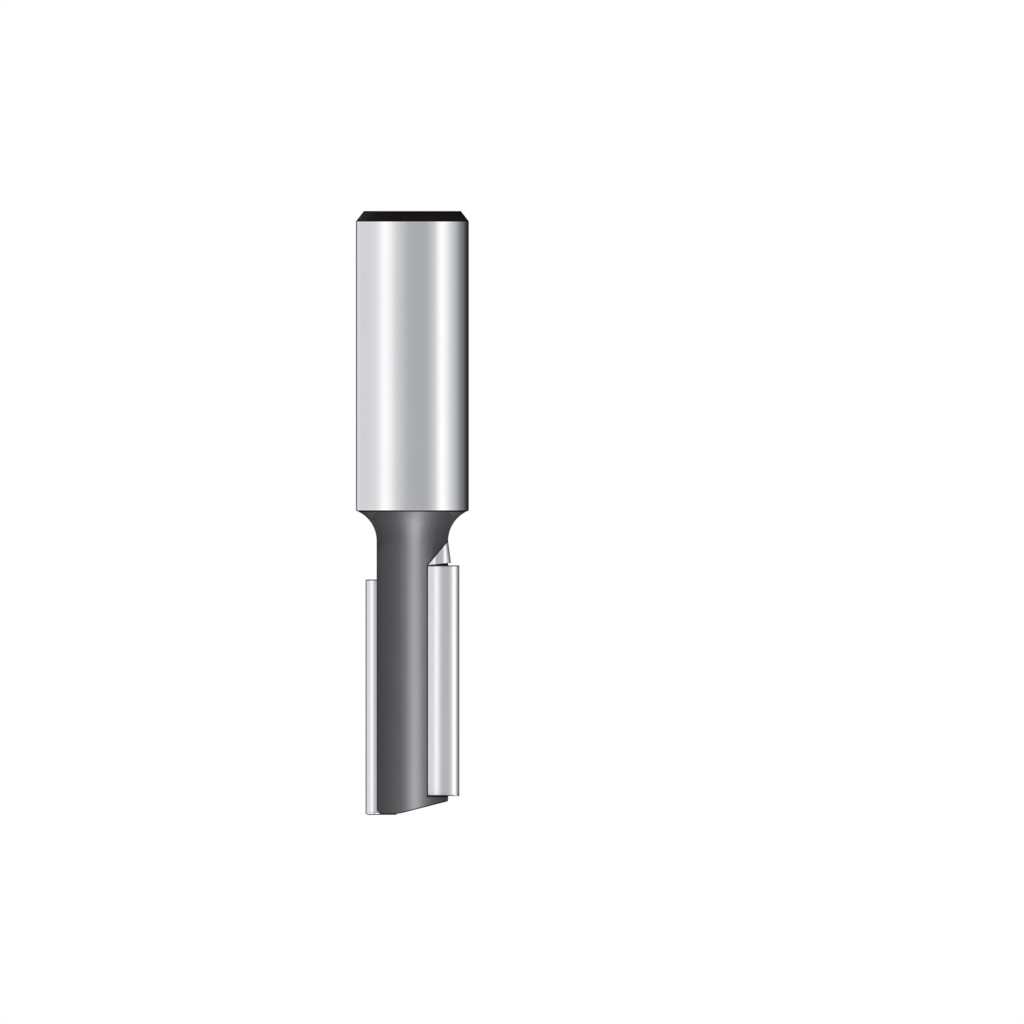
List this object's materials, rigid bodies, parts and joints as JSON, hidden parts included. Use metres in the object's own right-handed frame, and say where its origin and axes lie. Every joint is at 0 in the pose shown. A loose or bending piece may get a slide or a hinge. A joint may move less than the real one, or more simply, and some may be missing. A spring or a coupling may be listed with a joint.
{
  "type": "router bit",
  "caption": "Straight router bit: round chamfered shank, concave neck and a slimmer fluted body that carries staggered flat carbide cutting tips.",
  "frame": {"origin": "centre of the shank's flat end face", "axes": "+Z along the bit's axis from the shank end to the cutter end; +X from the axis towards the plunge tip's cutting edge, whose rake face looks along +Y"},
  "size_m": [0.012, 0.012, 0.0641],
  "materials": {
    "body_steel": "ground bright shank, black chamfered end, dark satin coat on the neck and cutter body",
    "carbide": "fine ground tungsten carbide"
  },
  "bodies": {
    "root": {"bit_body": "body_steel", "side_tip": "carbide", "plunge_tip": "carbide"}
  },
  "joints": []
}
